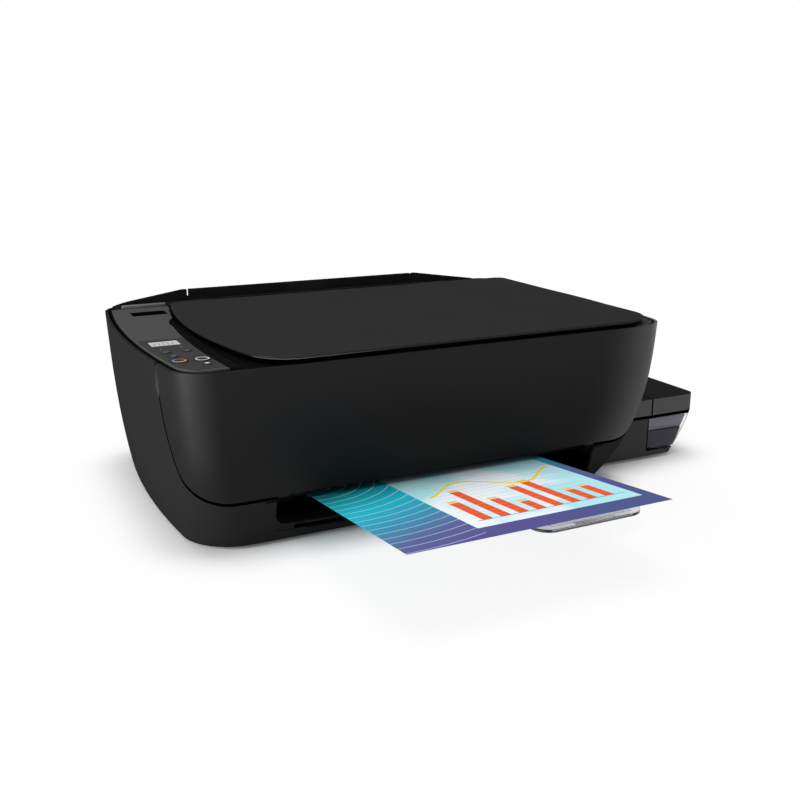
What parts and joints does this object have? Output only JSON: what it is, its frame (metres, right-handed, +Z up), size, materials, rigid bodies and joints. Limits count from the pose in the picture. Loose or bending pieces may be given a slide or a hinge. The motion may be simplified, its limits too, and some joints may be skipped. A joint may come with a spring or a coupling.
{
  "type": "ink tank inkjet printer",
  "caption": "Flatbed inkjet printer with a hinged scanner lid, curved drop-down front door, side ink tank box, rear paper support and a printed sheet leaving the output slot.",
  "frame": {"origin": "Middle of the whole printer's box, sheet and tray included, on the surface under the feet", "axes": "+X to the right as seen from the front, +Y to the back, +Z up"},
  "size_m": [0.524, 0.4526, 0.156],
  "materials": {
    "case_plastic": "fine moulded texture, near-black",
    "door_plastic": "fine moulded texture, near-black",
    "lid_plastic": "satin moulded texture, near-black",
    "deck_plastic": "gloss black",
    "panel_plastic": "satin dark grey",
    "display_glass": "pale grey segment display",
    "button_plastic": "satin dark grey with printed ring",
    "glass": "float glass",
    "foam_white": "white foam backing",
    "tank_plastic": "satin dark grey",
    "tank_clear": "smoked clear plastic",
    "ink_black": "clear tank with black ink",
    "ink_cyan": "clear tank with cyan ink",
    "ink_magenta": "clear tank with magenta ink",
    "ink_yellow": "clear tank with yellow ink",
    "tube_clear": "soft silicone tube",
    "steel": "zinc plated sheet",
    "bright_steel": "ground bar",
    "engine_plastic": "moulded black",
    "head_plastic": "moulded black",
    "gear_white": "acetal",
    "rubber_black": "moulded rubber",
    "board_green": "printed circuit board",
    "extender_clear": "smoked clear plastic",
    "paper": "coated sheet with a printed chart"
  },
  "bodies": {
    "case": {"main_casing": "case_plastic", "base_pan": "case_plastic", "scanner_deck": "deck_plastic", "scanner_glass": "glass", "scan_rod": "bright_steel", "rear_cover": "lid_plastic", "control_panel": "panel_plastic", "display": "display_glass", "tank_housing": "tank_plastic", "tank_window": "tank_clear", "ink_reservoir_black": "ink_black", "ink_reservoir_cyan": "ink_cyan", "ink_reservoir_magenta": "ink_magenta", "ink_reservoir_yellow": "ink_yellow", "tank_cap_black": "ink_black", "tank_cap_cyan": "ink_cyan", "tank_cap_magenta": "ink_magenta", "tank_cap_yellow": "ink_yellow", "ink_tubes": "tube_clear", "side_frames": "steel", "guide_rod": "bright_steel", "carriage_rail": "steel", "drive_belts": "rubber_black", "carriage_motor": "steel", "feed_motor": "steel", "platen": "engine_plastic", "service_station": "engine_plastic", "power_supply": "engine_plastic", "main_board": "board_green", "output_tray": "case_plastic", "rubber_feet": "rubber_black", "case_screws": "steel"},
    "front_door": {"front_door": "door_plastic"},
    "scanner_lid": {"scanner_lid": "lid_plastic", "lid_pad": "foam_white"},
    "scan_bar": {"scan_bar": "engine_plastic"},
    "carriage": {"carriage": "engine_plastic", "black_printhead": "head_plastic", "colour_printhead": "head_plastic"},
    "drive_pulley": {"drive_pulley": "gear_white"},
    "idler_pulley": {"idler_pulley": "gear_white"},
    "feed_roller": {"feed_roller": "bright_steel", "feed_gear": "gear_white"},
    "output_roller": {"output_roller": "bright_steel"},
    "motor_pinion": {"motor_pinion": "gear_white"},
    "pickup_roller": {"pickup_roller": "rubber_black"},
    "paper_support": {"paper_support": "lid_plastic"},
    "support_extension": {"support_extension": "case_plastic"},
    "left_paper_guide": {"left_paper_guide": "case_plastic"},
    "right_paper_guide": {"right_paper_guide": "case_plastic"},
    "tank_lid": {"tank_lid": "tank_plastic"},
    "tray_extender": {"tray_extender": "extender_clear"},
    "paper_stop": {"paper_stop": "extender_clear"},
    "printed_sheet": {"printed_sheet": "paper"},
    "colour_copy_button": {"colour_copy_button": "button_plastic"},
    "mono_copy_button": {"mono_copy_button": "button_plastic"},
    "stop_button": {"stop_button": "button_plastic"},
    "power_button": {"power_button": "button_plastic"},
    "wireless_button": {"wireless_button": "button_plastic"},
    "count_button": {"count_button": "button_plastic"}
  },
  "joints": [
    {"name": "door_hinge", "type": "hinge", "parent": "case", "child": "front_door", "pos_m": [-0.0475, -0.06527, 0.0395], "axis": [1, 0, 0], "range_deg": [0, 70]},
    {"name": "lid_hinge", "type": "hinge", "parent": "case", "child": "scanner_lid", "pos_m": [-0.0475, 0.19055, 0.148], "axis": [-1, 0, 0], "range_deg": [0, 75]},
    {"name": "scan_slide", "type": "slide", "parent": "case", "child": "scan_bar", "axis": [1, 0, 0], "range_m": [0, 0.316]},
    {"name": "carriage_slide", "type": "slide", "parent": "case", "child": "carriage", "axis": [-1, 0, 0], "range_m": [0, 0.268]},
    {"name": "drive_pulley_spin", "type": "hinge", "parent": "case", "child": "drive_pulley", "pos_m": [0.115, 0.09535, 0.092], "axis": [0, 1, 0], "continuous": true},
    {"name": "idler_pulley_spin", "type": "hinge", "parent": "case", "child": "idler_pulley", "pos_m": [-0.211, 0.09535, 0.092], "axis": [0, 1, 0], "continuous": true},
    {"name": "feed_spin", "type": "hinge", "parent": "case", "child": "feed_roller", "pos_m": [-0.0475, 0.09735, 0.024], "axis": [1, 0, 0], "continuous": true},
    {"name": "output_spin", "type": "hinge", "parent": "case", "child": "output_roller", "pos_m": [-0.0475, -0.01865, 0.024], "axis": [1, 0, 0], "continuous": true},
    {"name": "pinion_spin", "type": "hinge", "parent": "case", "child": "motor_pinion", "pos_m": [-0.221, 0.11431, 0.0346], "axis": [1, 0, 0], "continuous": true},
    {"name": "pickup_spin", "type": "hinge", "parent": "case", "child": "pickup_roller", "pos_m": [-0.0475, 0.18135, 0.062], "axis": [1, 0, 0], "continuous": true},
    {"name": "support_tilt", "type": "hinge", "parent": "case", "child": "paper_support", "pos_m": [-0.0475, 0.22335, 0.067], "axis": [-1, 0, 0], "range_deg": [0, 28]},
    {"name": "extension_slide", "type": "slide", "parent": "paper_support", "child": "support_extension", "axis": [0, 0, 1], "range_m": [0, 0.06]},
    {"name": "left_guide_slide", "type": "slide", "parent": "paper_support", "child": "left_paper_guide", "axis": [1, 0, 0], "range_m": [0, 0.055]},
    {"name": "right_guide_slide", "type": "slide", "parent": "paper_support", "child": "right_paper_guide", "axis": [1, 0, 0], "range_m": [-0.055, 0]},
    {"name": "tank_lid_hinge", "type": "hinge", "parent": "case", "child": "tank_lid", "pos_m": [0.2103, 0.08735, 0.0583], "axis": [0, -1, 0], "range_deg": [0, 95]},
    {"name": "extender_slide", "type": "slide", "parent": "case", "child": "tray_extender", "axis": [0, 1, 0], "range_m": [0, 0.071]},
    {"name": "stop_flip", "type": "hinge", "parent": "tray_extender", "child": "paper_stop", "pos_m": [0.0465, -0.13665, 0.014], "axis": [-1, 0, 0], "range_deg": [0, 80]},
    {"name": "sheet_slide", "type": "slide", "parent": "case", "child": "printed_sheet", "axis": [0, -1, 0], "range_m": [0, 0.08]},
    {"name": "colour_copy_press", "type": "slide", "parent": "case", "child": "colour_copy_button", "axis": [0, 0, -1], "range_m": [0, 0.0006], "stiffness_N_per_m": 400},
    {"name": "mono_copy_press", "type": "slide", "parent": "case", "child": "mono_copy_button", "axis": [0, 0, -1], "range_m": [0, 0.0006], "stiffness_N_per_m": 400},
    {"name": "stop_press", "type": "slide", "parent": "case", "child": "stop_button", "axis": [0, 0, -1], "range_m": [0, 0.0006], "stiffness_N_per_m": 400},
    {"name": "power_press", "type": "slide", "parent": "case", "child": "power_button", "axis": [0, 0, -1], "range_m": [0, 0.0006], "stiffness_N_per_m": 400},
    {"name": "wireless_press", "type": "slide", "parent": "case", "child": "wireless_button", "axis": [0, 0, -1], "range_m": [0, 0.0006], "stiffness_N_per_m": 400},
    {"name": "count_press", "type": "slide", "parent": "case", "child": "count_button", "axis": [0, 0, -1], "range_m": [0, 0.0006], "stiffness_N_per_m": 400}
  ],
  "couplings": [
    {"joint": "drive_pulley_spin", "follows": "carriage_slide", "rad_per_m": 112.36},
    {"joint": "idler_pulley_spin", "follows": "carriage_slide", "rad_per_m": 112.36},
    {"joint": "output_spin", "follows": "feed_spin", "ratio": 1},
    {"joint": "pinion_spin", "follows": "feed_spin", "ratio": -3},
    {"joint": "right_guide_slide", "follows": "left_guide_slide", "ratio": -1}
  ]
}
